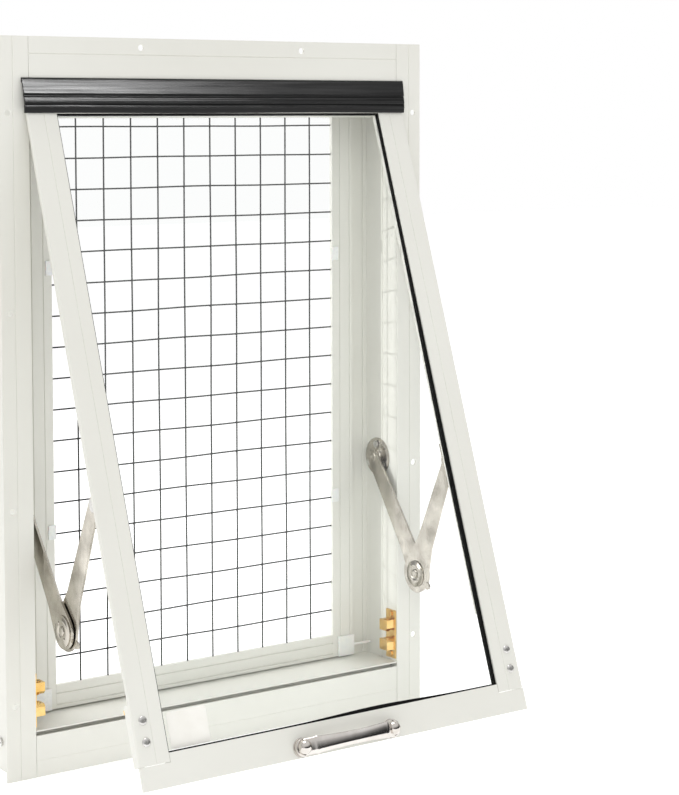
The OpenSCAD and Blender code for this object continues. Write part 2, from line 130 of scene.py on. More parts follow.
# Lamps: place, target and size in metres, and power in watts.
LAMPS = {
    "key": ((-1.6, -2.4, 1.9), (0.0, 0.0, 0.0), 1.6, 13.0),
    "above_back": ((0.0, 0.6, 1.6), (0.0, 0.02, -0.25), 1.0, 23.0),
    "sheen": ((0.82, -1.7, 1.5), (-0.15, 0.0, 0.25), 0.5, 30.0),
    "back": ((-0.67, 0.40, 0.0), (0.1775, 0.02, 0.0), 0.012, 3.2),
}

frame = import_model()
cad_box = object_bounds()


# ---- materials ----
def new_material(name):
    """A material with its node tree and its Principled shader."""
    made = bpy.data.materials.new(name)
    made.use_nodes = True
    tree = made.node_tree
    return made, tree, tree.nodes["Principled BSDF"]


def noise(tree, scale, stretch=(1.0, 1.0, 1.0), detail=3.0):
    """Noise fixed to the piece. The scale is in lumps per metre, and stretch multiplies it per axis."""
    place = tree.nodes.new("ShaderNodeTexCoord")
    mapping = tree.nodes.new("ShaderNodeMapping")
    mapping.inputs["Scale"].default_value = stretch
    texture = tree.nodes.new("ShaderNodeTexNoise")
    texture.inputs["Scale"].default_value = scale
    texture.inputs["Detail"].default_value = detail
    tree.links.new(place.outputs["Object"], mapping.inputs["Vector"])
    tree.links.new(mapping.outputs["Vector"], texture.inputs["Vector"])
    return texture.outputs["Fac"]


def ramp(tree, value, low, high, start=0.3, end=0.7):
    """Colours or greys from low to high as value goes from start to end."""
    made = tree.nodes.new("ShaderNodeValToRGB")
    made.color_ramp.elements[0].position = start
    made.color_ramp.elements[0].color = (*low, 1.0)
    made.color_ramp.elements[1].position = end
    made.color_ramp.elements[1].color = (*high, 1.0)
    tree.links.new(value, made.inputs["Fac"])
    return made.outputs["Color"]


def spread(tree, value, low, high):
    """A plain number from low to high as value goes from 0.25 to 0.75."""
    made = tree.nodes.new("ShaderNodeMapRange")
    made.inputs["From Min"].default_value = 0.25
    made.inputs["From Max"].default_value = 0.75
    made.inputs["To Min"].default_value = low
    made.inputs["To Max"].default_value = high
    tree.links.new(value, made.inputs["Value"])
    return made.outputs["Result"]


def bumps(tree, shader, *layers):
    """Stacks bump layers of (height, strength, depth in metres) on the shader's normal."""
    before = None
    for height, strength, depth in layers:
        made = tree.nodes.new("ShaderNodeBump")
        made.inputs["Strength"].default_value = strength
        made.inputs["Distance"].default_value = depth
        tree.links.new(height, made.inputs["Height"])
        if before is not None:
            tree.links.new(before, made.inputs["Normal"])
        before = made.outputs["Normal"]
    tree.links.new(before, shader.inputs["Normal"])


def paint(name, along):
    """Ivory powder coat on an extrusion whose draw lines run along one axis."""
    made, tree, shader = new_material(name)
    lines = [1.0 if axis == along else 40.0 for axis in range(3)]
    cloud = noise(tree, 5.0)
    drawn = noise(tree, 9.0, lines, 2.0)
    peel = noise(tree, 650.0, detail=2.0)
    ivory = (0.745, 0.738, 0.68)
    pale_ivory = (0.79, 0.785, 0.73)
    tree.links.new(ramp(tree, cloud, ivory, pale_ivory), shader.inputs["Base Color"])
    tree.links.new(spread(tree, peel, 0.34, 0.46), shader.inputs["Roughness"])
    shader.inputs["Coat Weight"].default_value = 0.12
    shader.inputs["Coat Roughness"].default_value = 0.2
    bumps(tree, shader, (drawn, 0.12, 0.1 * MM), (peel, 0.1, 0.08 * MM))
    return made


def metal(name, dark, light, rough, grain, grain_stretch, depth):
    """Metal with cloudy tone, a rolled or drawn grain and fine dents."""
    made, tree, shader = new_material(name)
    cloud = noise(tree, 60.0, detail=4.0)
    lines = noise(tree, grain, grain_stretch, 4.0)
    dents = noise(tree, 380.0, detail=2.0)
    tree.links.new(ramp(tree, cloud, dark, light), shader.inputs["Base Color"])
    shader.inputs["Metallic"].default_value = 1.0
    tree.links.new(spread(tree, lines, *rough), shader.inputs["Roughness"])
    bumps(tree, shader, (lines, 0.35, depth), (dents, 0.1, 0.05 * MM))
    return made


def rubber(name, tone, rough, shine, lines, depth):
    """Black extruded rubber with ribs of the die along X and a little dust."""
    made, tree, shader = new_material(name)
    streaks = noise(tree, 12.0, (1.0, lines, lines), 3.0)
    dust = noise(tree, 900.0, detail=4.0)
    dusty_tone = tuple(2.6 * part for part in tone)
    tree.links.new(ramp(tree, dust, tone, dusty_tone, 0.62, 0.8), shader.inputs["Base Color"])
    tree.links.new(spread(tree, streaks, *rough), shader.inputs["Roughness"])
    shader.inputs["Specular IOR Level"].default_value = shine
    bumps(tree, shader, (streaks, 0.4, depth), (dust, 0.08, 0.05 * MM))
    return made


def coated_wire():
    """Glossy black vinyl dipped over steel wire, with small lumps."""
    made, tree, shader = new_material("guard_wire")
    lumps = noise(tree, 260.0, detail=2.0)
    black = (0.006, 0.006, 0.007)
    worn_black = (0.018, 0.018, 0.018)
    tree.links.new(ramp(tree, lumps, black, worn_black), shader.inputs["Base Color"])
    tree.links.new(spread(tree, lumps, 0.35, 0.5), shader.inputs["Roughness"])
    shader.inputs["Specular IOR Level"].default_value = 0.3
    bumps(tree, shader, (lumps, 0.5, 0.15 * MM))
    return made


def white_plastic():
    """Milky moulded plastic of the clips and washers."""
    made, tree, shader = new_material("white_plastic")
    grain = noise(tree, 500.0, detail=2.0)
    milk = (0.82, 0.83, 0.82)
    pale_milk = (0.9, 0.9, 0.88)
    tree.links.new(ramp(tree, grain, milk, pale_milk), shader.inputs["Base Color"])
    tree.links.new(spread(tree, grain, 0.28, 0.42), shader.inputs["Roughness"])
    shader.inputs["Subsurface Weight"].default_value = 0.2
    shader.inputs["Subsurface Scale"].default_value = 1.0 * MM
    bumps(tree, shader, (grain, 0.15, 0.05 * MM))
    return made


def window_glass():
    """Clear float glass with a faint green tint, which lamps shine through."""
    made, tree, shader = new_material("window_glass")
    smears = noise(tree, 14.0, (1.0, 1.0, 0.3), 2.0)
    faint_green = (0.98, 0.992, 0.986)
    fainter_green = (0.988, 0.996, 0.991)
    tree.links.new(ramp(tree, smears, faint_green, fainter_green), shader.inputs["Base Color"])
    tree.links.new(spread(tree, smears, 0.0, 0.012), shader.inputs["Roughness"])
    shader.inputs["Transmission Weight"].default_value = 1.0
    shader.inputs["IOR"].default_value = 1.5
    let_through = tree.nodes.new("ShaderNodeBsdfTransparent")
    let_through.inputs["Color"].default_value = (0.97, 0.985, 0.975, 1.0)
    path = tree.nodes.new("ShaderNodeLightPath")
    mixed = tree.nodes.new("ShaderNodeMixShader")
    tree.links.new(path.outputs["Is Shadow Ray"], mixed.inputs["Fac"])
    tree.links.new(shader.outputs["BSDF"], mixed.inputs[1])
    tree.links.new(let_through.outputs["BSDF"], mixed.inputs[2])
    tree.links.new(mixed.outputs["Shader"], tree.nodes["Material Output"].inputs["Surface"])
    return made


def label_film():
    """Cream printed film, left blank, with a soft satin face."""
    made, tree, shader = new_material("label_film")
    fibres = noise(tree, 420.0, (1.0, 1.0, 2.5), 4.0)
    cloud = noise(tree, 70.0)
    cream = (0.87, 0.85, 0.79)
    pale_cream = (0.92, 0.905, 0.85)
    tree.links.new(ramp(tree, cloud, cream, pale_cream), shader.inputs["Base Color"])
    tree.links.new(spread(tree, fibres, 0.42, 0.58), shader.inputs["Roughness"])
    bumps(tree, shader, (fibres, 0.2, 0.04 * MM))
    return made


UPRIGHT_PAINT = paint("frame_paint_upright", 2)
LEVEL_PAINT = paint("frame_paint_level", 0)
MATERIALS = {
    "frame_paint": UPRIGHT_PAINT,
    "guard_wire": coated_wire(),
    "white_plastic": white_plastic(),
    "strip_rubber": rubber("strip_rubber", (0.003, 0.003, 0.003), (0.14, 0.3), 0.25, 45.0, 0.3 * MM),
    "gasket_rubber": rubber("gasket_rubber", (0.003, 0.003, 0.003), (0.5, 0.65), 0.15, 10.0, 0.05 * MM),
    "window_glass": window_glass(),
    "label_film": label_film(),
    "polished_chrome": metal(
        "polished_chrome", (0.62, 0.58, 0.54), (0.76, 0.73, 0.7), (0.07, 0.14), 40.0, (1, 6, 6), 0.01 * MM
    ),
    "fastener_steel": metal(
        "fastener_steel", (0.55, 0.54, 0.52), (0.7, 0.69, 0.67), (0.22, 0.38), 300.0, (1, 1, 1), 0.04 * MM
    ),
    "stay_steel": metal(
        "stay_steel", (0.34, 0.315, 0.27), (0.6, 0.565, 0.5), (0.12, 0.26), 60.0, (20, 20, 1), 0.04 * MM
    ),
    "catch_brass": metal(
        "catch_brass", (0.7, 0.42, 0.12), (0.92, 0.68, 0.3), (0.12, 0.26), 120.0, (1, 6, 6), 0.03 * MM
    ),
}
LEVEL_NODES = {
    "frame_head", "frame_sill", "guard_top_bar", "guard_bottom_bar", "sash_top_rail", "sash_bottom_rail",
}


# ---- building pieces ----
def node_slot(node):
    """The record's material slot of a CAD node."""
    return frame["nodes"][node].data.materials[0].name.split(".")[0]


def node_material(node, slot):
    """The material for a node: paint runs with the length of its extrusion."""
    return LEVEL_PAINT if slot == "frame_paint" and node in LEVEL_NODES else MATERIALS[slot]


def stand_for(thing, *nodes):
    """Puts a finished piece on the body of the CAD nodes that it stands for, with the material of their slot.
    """
    slot = node_slot(nodes[0])
    thing.data.materials.clear()
    thing.data.materials.append(node_material(nodes[0], slot))
    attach(thing, body_of(frame["nodes"][nodes[0]])[0])
    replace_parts(thing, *nodes)
    return thing


def to_object(name, shape, smooth_angle=35.0):
    """Turns a bmesh into an object in the scene, smooth except over sharp edges."""
    bmesh.ops.recalc_face_normals(shape, faces=shape.faces)
    for face in shape.faces:
        face.smooth = True
    for edge in shape.edges:
        edge.smooth = edge.calc_face_angle(0.0) < math.radians(smooth_angle)
    mesh = bpy.data.meshes.new(name)
    shape.to_mesh(mesh)
    shape.free()
    thing = bpy.data.objects.new(name, mesh)
    bpy.context.scene.collection.objects.link(thing)
    return thing


def softened(node, width, joint=None):
    """A copy of a CAD part with rounded edges.

    A joint is (place, axis, end): the faces at plus and minus end on that axis are drawn in by a joint's gap.
    """
    shape = bmesh.new()
    shape.from_mesh(frame["nodes"][node].data)
    bmesh.ops.remove_doubles(shape, verts=shape.verts, dist=SAME_SPOT)
    flat = math.radians(FLAT_ANGLE)
    bmesh.ops.dissolve_limit(shape, angle_limit=flat, verts=shape.verts, edges=shape.edges)
    if joint:
        place, axis, end = joint
        for vert in shape.verts:
            spot = place.inverted() @ vert.co
            if abs(abs(spot[axis]) - end) < JOINT_REACH:
                spot[axis] -= math.copysign(JOINT_GAP, spot[axis])
                vert.co = place @ spot
    thing = to_object(node + "_rounded", shape)
    bevel = thing.modifiers.new("rounded_edges", "BEVEL")
    bevel.width = width
    bevel.segments = 2
    bevel.limit_method = "ANGLE"
    bevel.angle_limit = math.radians(EDGE_ANGLE)
    bevel.harden_normals = True
    return stand_for(thing, node)


def skin(shape, rings):
    """Joins rings of equally many vertices with quads, and closes both ends."""
    for first, second in zip(rings, rings[1:]):
        for k in range(len(first)):
            nearby = (k + 1) % len(first)
            shape.faces.new((first[k], first[nearby], second[nearby], second[k]))
    shape.faces.new(rings[0][::-1])
    shape.faces.new(rings[-1])


def tube(shape, path, radius, sides=10):
    """Adds a round tube along a path of points."""
    ahead = (path[1] - path[0]).normalized()
    side = ahead.orthogonal().normalized()
    rings = []
    for i, point in enumerate(path):
        before = path[max(i - 1, 0)]
        after = path[min(i + 1, len(path) - 1)]
        ahead = (after - before).normalized()
        side = (side - ahead * side.dot(ahead)).normalized()
        up = ahead.cross(side)
        turns = [2 * math.pi * k / sides for k in range(sides)]
        spots = [point + radius * (math.cos(a) * side + math.sin(a) * up) for a in turns]
        rings.append([shape.verts.new(spot) for spot in spots])
    skin(shape, rings)


def in_metres(profile):
    """A turned shape's (radius, height) points, from millimetres."""
    return [(radius * MM, height * MM) for radius, height in profile]


def turned(shape, profile, place, steps=40):
    """Adds a turned shape. The profile's points are (radius, height) and place puts its axis, local +Z."""
    rings = []
    for radius, height in profile:
        if radius == 0.0:
            rings.append([shape.verts.new(place @ Vector((0.0, 0.0, height)))])
            continue
        turns = [2 * math.pi * k / steps for k in range(steps)]
        spots = [Vector((radius * math.cos(a), radius * math.sin(a), height)) for a in turns]
        rings.append([shape.verts.new(place @ spot) for spot in spots])
    for first, second in zip(rings, rings[1:]):
        for k in range(steps):
            nearby = (k + 1) % steps
            if len(first) == 1:
                shape.faces.new((first[0], second[nearby], second[k]))
            elif len(second) == 1:
                shape.faces.new((first[k], first[nearby], second[0]))
            else:
                shape.faces.new((first[k], first[nearby], second[nearby], second[k]))


def axis_place(point, direction):
    """Puts a turned shape's axis at a point, along a direction."""
    return Matrix.Translation(point) @ Vector(direction).to_track_quat("Z", "Y").to_matrix().to_4x4()


def on_sash():
    """From the sash's own upright measures to where the stays hold it open."""
    pins = [sum(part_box("pivot_pin_" + side), Vector()) / 2 for side, _ in SIDES]
    pivot = (pins[0] + pins[1]) / 2
    return Matrix.Translation(pivot) @ Matrix.Rotation(math.radians(-OPEN_ANGLE), 4, "X")


def sash_box(node, sash_place):
    """The corners of a sash part's box in the sash's own upright measures."""
    back = sash_place.inverted()
    thing = frame["nodes"][node]
    spots = [back @ thing.matrix_world @ v.co for v in thing.data.vertices]
    low = Vector(min(spot[axis] for spot in spots) for axis in range(3))
    high = Vector(max(spot[axis] for spot in spots) for axis in range(3))
    return low, high


# ---- wire guard ----
def wavy(start, end, sway, parts, seed):
    """A wire's path from start to end in some parts, with a small smooth sway that dies out at both ends."""
    draw = random.Random(seed)
    phases = [draw.uniform(0.0, 2 * math.pi) for _ in range(2)]
    path = []
    for i in range(parts + 1):
        t = i / parts
        wave = math.sin(5.0 * t + phases[0]) + 0.6 * math.sin(13.0 * t + phases[1])
        path.append(start.lerp(end, t) + sway * wave * math.sin(math.pi * t))
    return path


def wire_guard():
    """Welded black mesh: upright wires in front, cross wires behind and a weld bead at each crossing."""
    up_low, up_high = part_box("guard_wires_upright")
    cross_low, cross_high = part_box("guard_wires_cross")
    ups = round((up_high.x - up_low.x - 2 * WIRE_RADIUS) / CELL) + 1
    crosses = round((cross_high.z - cross_low.z - 2 * WIRE_RADIUS) / CELL) + 1
    up_y = (up_low.y + up_high.y) / 2
    cross_y = (cross_low.y + cross_high.y) / 2
    up_sway = Vector((0.3 * MM, 0, 0))
    cross_sway = Vector((0, 0, 0.35 * MM))
    first_cross_seed = 100
    shape = bmesh.new()
    for i in range(ups):
        x = up_low.x + WIRE_RADIUS + i * CELL
        path = wavy(Vector((x, up_y, up_low.z)), Vector((x, up_y, up_high.z)), up_sway, 36, i)
        tube(shape, path, WIRE_RADIUS)
    for j in range(crosses):
        z = cross_low.z + WIRE_RADIUS + j * CELL
        start = Vector((cross_low.x, cross_y, z))
        end = Vector((cross_high.x, cross_y, z))
        path = wavy(start, end, cross_sway, 24, first_cross_seed + j)
        tube(shape, path, WIRE_RADIUS)
    bead_radius = 1.35 * WIRE_RADIUS
    flattened = Matrix.Diagonal((1.0, 0.75, 1.0, 1.0))
    for i in range(ups):
        for j in range(crosses):
            x = up_low.x + WIRE_RADIUS + i * CELL
            z = cross_low.z + WIRE_RADIUS + j * CELL
            place = Matrix.Translation((x, (up_y + cross_y) / 2, z)) @ flattened
            bmesh.ops.create_icosphere(shape, subdivisions=2, radius=bead_radius, matrix=place)
    guard = to_object("guard_mesh", shape, 60.0)
    stand_for(guard, "guard_wires_upright", "guard_wires_cross")


# ---- weather strip ----
def rounded_outline(points, steps):
    """A closed smooth outline through the points, with some steps between each two."""
    outline = []
    count = len(points)
    for i in range(count):
        a, b, c, d = (Vector(points[(i + k) % count]) for k in (-1, 0, 1, 2))
        for k in range(steps):
            t = k / steps
            spot = 2 * b + (c - a) * t + (2 * a - 5 * b + 4 * c - d) * t * t
            outline.append((spot + (3 * b - a - 3 * c + d) * t * t * t) / 2)
    return outline


def weather_strip():
    """The black strip over the pivots: a thin slanting sheet, a groove and a bulge with two ribs."""
    low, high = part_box("weather_strip")
    # how far each point stands out from the frame, and how far it is below the strip's top, in millimetres
    front = [
        (0.0, 0.0), (0.9, 0.0), (1.5, 0.4), (2.1, 1.6), (3.9, 6.6), (5.3, 10.6), (5.8, 12.2),
        (5.5, 12.9), (5.1, 13.4), (5.2, 14.2), (6.2, 15.2), (6.8, 17.4), (7.45, 18.6), (6.9, 19.6),
        (7.0, 21.5), (7.5, 22.6), (6.85, 23.6), (6.6, 25.2), (6.2, 26.7), (5.6, 27.4), (5.0, 26.8),
    ]
    back = [
        (5.3, 24.0), (5.2, 19.0), (4.6, 16.0), (3.8, 14.6), (3.8, 12.9), (4.3, 12.0), (3.2, 8.6),
        (1.3, 3.6), (0.8, 3.0), (0.0, 3.0),
    ]
    outline = rounded_outline(front + back, 4)
    stations = 80
    bulge_start = 17.0
    bulge_full = 21.0
    ripple = 0.2 * MM
    end_slant = 0.45
    shape = bmesh.new()
    rings = []
    for i in range(stations + 1):
        t = i / stations
        ring = []
        for out, drop in outline:
            share = min(max((drop - bulge_start) / (bulge_full - bulge_start), 0.0), 1.0)
            sag = ripple * share * math.sin(9.0 * t + 1.0)
            x = low.x + (high.x - end_slant * out * MM - low.x) * t
            ring.append(shape.verts.new((x, high.y - out * MM + sag * 0.5, high.z - drop * MM + sag)))
        rings.append(ring)
    skin(shape, rings)
    stand_for(to_object("weather_strip_profile", shape, 50.0), "weather_strip")


# ---- stays ----
def sideways(x, y, z, direction):
    """A turned shape's place with its axis along X."""
    return axis_place((x, y, z), (direction, 0, 0))


def elbow(side, sign):
    """The riveted elbow of a stay: a stepped washer, a domed rivet and two small rivets on each face."""
    node = "elbow_rivet_" + side
    low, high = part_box(node)
    middle = (low + high) / 2
    shape = bmesh.new()
    inner = high.x if sign < 0 else low.x
    outer = low.x if sign < 0 else high.x
    small_rivet = in_metres([(1.6, -1.0), (1.6, -0.35), (1.1, -0.05), (0.0, 0.05)])
    small_rivet_reach = 7.4 * MM
    first_turn = 0.9
    for face, out, washer, rise in ((inner, -sign, 11.5, 2.0), (outer, sign, 12.5, 1.8)):
        profile = [
            (0.0, -rise), (washer, -rise), (washer, -rise + 0.7), (washer - 0.5, -0.9),
            (washer - 2.4, -0.9), (washer - 3.0, -0.5), (5.2, -0.5), (4.6, -0.9), (3.9, -0.9),
            (3.7, -0.4), (2.8, -0.1), (1.5, 0.0), (0.0, 0.0),
        ]
        turned(shape, in_metres(profile), sideways(face, middle.y, middle.z, out))
        for turn in (first_turn, first_turn + math.pi):
            y = middle.y + small_rivet_reach * math.cos(turn)
            z = middle.z + small_rivet_reach * math.sin(turn)
            turned(shape, small_rivet, sideways(face, y, z, out), 16)
    shank = 3.0 * MM
    sunk = 1.5 * MM
    length = abs(outer - inner) - 2 * sunk
    core = [(0.0, 0.0), (shank, 0.0), (shank, length), (0.0, length)]
    turned(shape, core, sideways(inner + sign * sunk, middle.y, middle.z, sign), 24)
    stand_for(to_object("stay_elbow_" + side, shape, 40.0), node)


def stay_base(side, sign):
    """The dished disc that holds a stay to the jamb, with a turned boss for the arm."""
    node = "stay_base_" + side
    low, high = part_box(node)
    middle = (low + high) / 2
    wall = low.x if sign < 0 else high.x
    reach = (high.x - low.x) / MM
    radius = (high.z - low.z) / (2 * MM)
    disc = [
        (0.0, 0.0), (radius, 0.0), (radius, 0.9), (radius - 0.7, 1.7),
        (radius - 1.6, 2.0), (radius - 2.6, 1.6),
    ]
    boss = [
        (8.4, 1.6), (7.2, 2.2), (6.5, 3.2), (6.4, reach - 2.7),
        (3.0, reach - 2.65), (3.0, reach - 0.6),
    ]
    head = [
        (4.9, reach - 0.6), (4.9, reach - 0.3), (3.6, reach), (1.4, reach),
        (1.0, reach - 0.3), (0.0, reach - 0.3),
    ]
    shape = bmesh.new()
    turned(shape, in_metres(disc + boss + head), sideways(wall, middle.y, middle.z, -sign), 64)
    stand_for(to_object("stay_disc_" + side, shape, 40.0), node)


# ---- sash furniture ----
def corner_rivets(sash_place):
    """Blind rivets with domed heads and the small pit of the broken mandrel."""
    shape = bmesh.new()
    dome = in_metres(
        [(3.4, 0.0), (3.5, 0.25), (3.2, 0.75), (2.5, 1.25), (1.6, 1.5), (1.0, 1.5), (0.8, 1.0), (0.0, 0.95)]
    )
    low, high = sash_box("corner_rivets", sash_place)
    face_y = sash_box("sash_left_stile", sash_place)[0].y
    edge = dome[1][0]
    for x in (low.x + edge, high.x - edge):
        for z in (low.z + edge, high.z - edge):
            spot = sash_place @ Vector((x, face_y, z))
            out = sash_place.to_3x3() @ Vector((0, -1, 0))
            turned(shape, dome, axis_place(spot, out), 28)
    stand_for(to_object("sash_corner_rivets", shape, 50.0), "corner_rivets")


def grip_section(t):
    """The grip's half height and half thickness, and how far it bows out, as t goes from -1 to 1 along it."""
    flare = min(abs(t) / 0.78, 1.0)
    ridge = 0.7 * MM * math.exp(-(((abs(t) - 0.79) / 0.025) ** 2))
    near_foot = max((abs(t) - 0.76) / 0.24, 0.0)
    bow = 5.2 * MM + 7.6 * MM * (1 - t * t) - 2.6 * MM * near_foot
    return (5.3 + 1.1 * flare**2) * MM + ridge, (2.1 + 0.3 * flare) * MM + ridge, bow


def rounder(value):
    """A sine or cosine made fuller, so that a circle swells towards a square with round corners."""
    return math.copysign(abs(value) ** 0.8, value)


def pull_handle(sash_place):
    """Chrome pull: a bowed band that flares towards a ridge at each foot, and a domed stud on each foot."""
    low, high = sash_box("pull_handle", sash_place)
    foot_y = high.y
    knob_x = high.x - (high.z - low.z) / 2
    knob_z = (low.z + high.z) / 2
    shape = bmesh.new()
    stations = 48
    sides = 28
    rings = []
    for i in range(stations + 1):
        t = 2 * i / stations - 1
        tall, thick, bow = grip_section(t)
        ring = []
        for k in range(sides):
            turn = 2 * math.pi * k / sides
            y = foot_y - bow + thick * rounder(math.sin(turn))
            z = knob_z + tall * rounder(math.cos(turn))
            ring.append(shape.verts.new(sash_place @ Vector((t * knob_x, y, z))))
        rings.append(ring)
    skin(shape, rings)
    rose = [(0.0, 0.0), (6.9, 0.0), (7.1, 0.5), (7.1, 2.6), (6.8, 3.2), (6.2, 3.4), (5.7, 3.2)]
    knob = [(5.5, 3.6), (5.3, 5.2), (4.6, 7.0), (3.6, 8.2), (2.2, 9.0), (0.8, 9.3), (0.0, 9.32)]
    out = sash_place.to_3x3() @ Vector((0, -1, 0))
    for x in (-knob_x, knob_x):
        turned(shape, in_metres(rose + knob), axis_place(sash_place @ Vector((x, foot_y, knob_z)), out), 48)
    stand_for(to_object("handle_grip", shape, 40.0), "pull_handle")


def gasket(sash_place):
    """The black glazing gasket: its lip swells down the right side and along part of the bottom rail."""
    left = sash_box("sash_left_stile", sash_place)[1].x
    right = -left
    top = sash_box("sash_top_rail", sash_place)[0].z
    bottom = sash_box("sash_bottom_rail", sash_place)[1].z
    low, high = sash_box("glazing_gasket", sash_place)
    thin = 1.0 * MM
    rail_lip = 1.1 * MM
    edge_lip = 1.2 * MM
    wide_lip = 2.4 * MM
    outline = []
    steps = 40
    for i in range(steps):
        t = i / steps
        lip = rail_lip + 1.9 * MM * math.exp(-(((t - 0.62) / 0.16) ** 2))
        x = left + (right - left) * t
        outline.append((min(max(x, left + edge_lip), right - wide_lip), bottom + lip))
    for i in range(steps):
        t = i / steps
        lip = wide_lip + 1.3 * MM * math.sin(math.pi * min(1.0, 1.25 * t)) - 1.4 * MM * t
        z = bottom + rail_lip + (top - bottom - rail_lip - edge_lip) * t
        outline.append((right - lip, z))
    outline.append((right - thin, top - edge_lip))
    outline.append((left + edge_lip, top - edge_lip))
    shape = bmesh.new()
    rim = [(low.x, low.z), (high.x, low.z), (high.x, high.z), (low.x, high.z)]
    corners = [0, steps, 2 * steps, 2 * steps + 1]
    faces = {}
    for name, y in (("front", low.y), ("back", high.y)):
        inner = [shape.verts.new(sash_place @ Vector((x, y, z))) for x, z in outline]
        outer = [shape.verts.new(sash_place @ Vector((x, y, z))) for x, z in rim]
        faces[name] = (inner, outer)
        for k in range(4):
            start, stop = corners[k], corners[(k + 1) % 4]
            run = inner[start : stop + 1] if stop > start else inner[start:] + inner[: stop + 1]
            shape.faces.new([outer[k]] + run + [outer[(k + 1) % 4]])
    for which in (0, 1):
        front, back = faces["front"][which], faces["back"][which]
        for k in range(len(front)):
            nearby = (k + 1) % len(front)
            shape.faces.new((front[k], front[nearby], back[nearby], back[k]))
    stand_for(to_object("gasket_lip", shape, 40.0), "glazing_gasket")


def label(sash_place):
    """A blank rectangle of film stuck inside the glass's corner, its corners rounded and one just lifting."""
    low_corner, high_corner = sash_box("blank_label", sash_place)
    left, right, low, high = low_corner.x, high_corner.x, low_corner.z, high_corner.z
    pane_y = high_corner.y
    round_off = 2.0 * MM
    film = 0.12 * MM
    lifted_corner = 6.0 * MM
    lifted_by = 0.5 * MM
    outline = []
    corners = ((right, high, 0.0), (left, high, 90.0), (left, low, 180.0), (right, low, 270.0))
    for x, z, turn in corners:
        inward = Vector((1 if x == left else -1, 0, 1 if z == low else -1))
        centre = Vector((x, 0, z)) + inward * round_off
        for k in range(6):
            a = math.radians(turn + 18.0 * k)
            outline.append(centre + Vector((math.cos(a), 0, math.sin(a))) * round_off)
    shape = bmesh.new()
    for depth in (0.0, -film):
        spots = []
        for spot in outline:
            from_side = max((spot.x - right + lifted_corner) / lifted_corner, 0.0)
            from_top = max((spot.z - high + lifted_corner) / lifted_corner, 0.0)
            y = pane_y + depth - lifted_by * from_side * from_top
            spots.append(shape.verts.new(sash_place @ (spot + Vector((0, y, 0)))))
        if depth == 0.0:
            back = spots
    front = spots
    shape.faces.new(front)
    shape.faces.new(back[::-1])
    for k in range(len(front)):
        nearby = (k + 1) % len(front)
        shape.faces.new((back[k], back[nearby], front[nearby], front[k]))
    stand_for(to_object("label_blank", shape, 30.0), "blank_label")


def catch_spring(level, side, sign):
    """A coil spring behind a catch's ball."""
    node = f"spring_{level}_{side}"
    low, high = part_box(node)
    middle = (low + high) / 2
    wire = 0.32 * MM
    steps_per_turn = 20
    steps = int(3.2 * steps_per_turn)
    radius = (high.x - low.x) / 2 - wire
    rise = high.z - low.z - 2 * wire
    path = []
    for i in range(steps + 1):
        a = 2 * math.pi * i / steps_per_turn
        z = low.z + wire + rise * i / steps
        path.append(Vector((middle.x + radius * math.cos(a), middle.y + radius * math.sin(a), z)))
    shape = bmesh.new()
    tube(shape, path, wire, 8)
    coil = to_object(f"catch_coil_{level}_{side}", shape, 60.0)
    stand_for(coil, node)
    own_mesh(coil)


# ---- the room ----
def floor():
    """A wide pale floor under the frame."""
    bpy.ops.mesh.primitive_plane_add(size=FLOOR_SIZE, location=(0, 0, cad_box[0].z))
    ground = bpy.context.object
    ground.name = "floor"
    made, tree, shader = new_material("pale_floor")
    grain = noise(tree, 3.0)
    pale = (0.93, 0.93, 0.93)
    paler = (0.95, 0.95, 0.95)
    tree.links.new(ramp(tree, grain, pale, paler), shader.inputs["Base Color"])
    shader.inputs["Roughness"].default_value = 0.8
    shader.inputs["Emission Color"].default_value = (1.0, 1.0, 1.0, 1.0)
    shader.inputs["Emission Strength"].default_value = FLOOR_GLOW
    ground.data.materials.append(made)


def zone(tree, value, start, end, low, high):
    """A smooth step from low to high as value goes from start to end."""
    made = tree.nodes.new("ShaderNodeMapRange")
    made.interpolation_type = "SMOOTHSTEP"
    made.inputs["From Min"].default_value = start
    made.inputs["From Max"].default_value = end
    made.inputs["To Min"].default_value = low
    made.inputs["To Max"].default_value = high
    tree.links.new(value, made.inputs["Value"])
    return made.outputs["Result"]


def arithmetic(tree, kind, first, second=None):
    """One Math node on one or two outputs."""
    made = tree.nodes.new("ShaderNodeMath")
    made.operation = kind
    tree.links.new(first, made.inputs[0])
    if second is not None:
        tree.links.new(second, made.inputs[1])
    return made.outputs["Value"]


